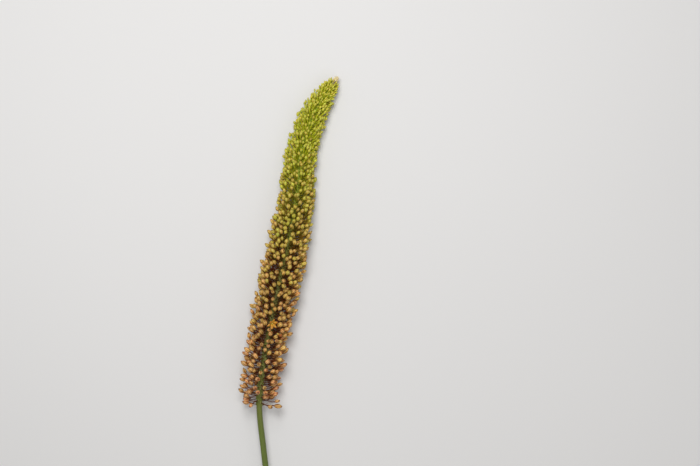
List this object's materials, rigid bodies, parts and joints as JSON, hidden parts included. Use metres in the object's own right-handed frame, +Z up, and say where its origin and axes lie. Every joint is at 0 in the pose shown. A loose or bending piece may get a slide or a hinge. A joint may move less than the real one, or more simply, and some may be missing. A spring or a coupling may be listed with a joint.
{
  "type": "foxtail lily flower spike",
  "caption": "Cut foxtail lily flower spike lying on its side: a bare stem, then a long tapering raceme of stalked buds in a spiral, its tip bent to one side.",
  "frame": {"origin": "on the surface that the spike lies on, under the middle of its outer box", "axes": "+Y from the cut end of the stem towards the tip, +Z up from the surface, +X towards the side that the tip bends to"},
  "size_m": [0.1495, 0.7954, 0.0581],
  "materials": {
    "spike": "satin",
    "stem": "satin",
    "open_floret": "satin",
    "dry_bract": "matte"
  },
  "bodies": {
    "root": {"flower_spike": "spike"}
  },
  "joints": []
}
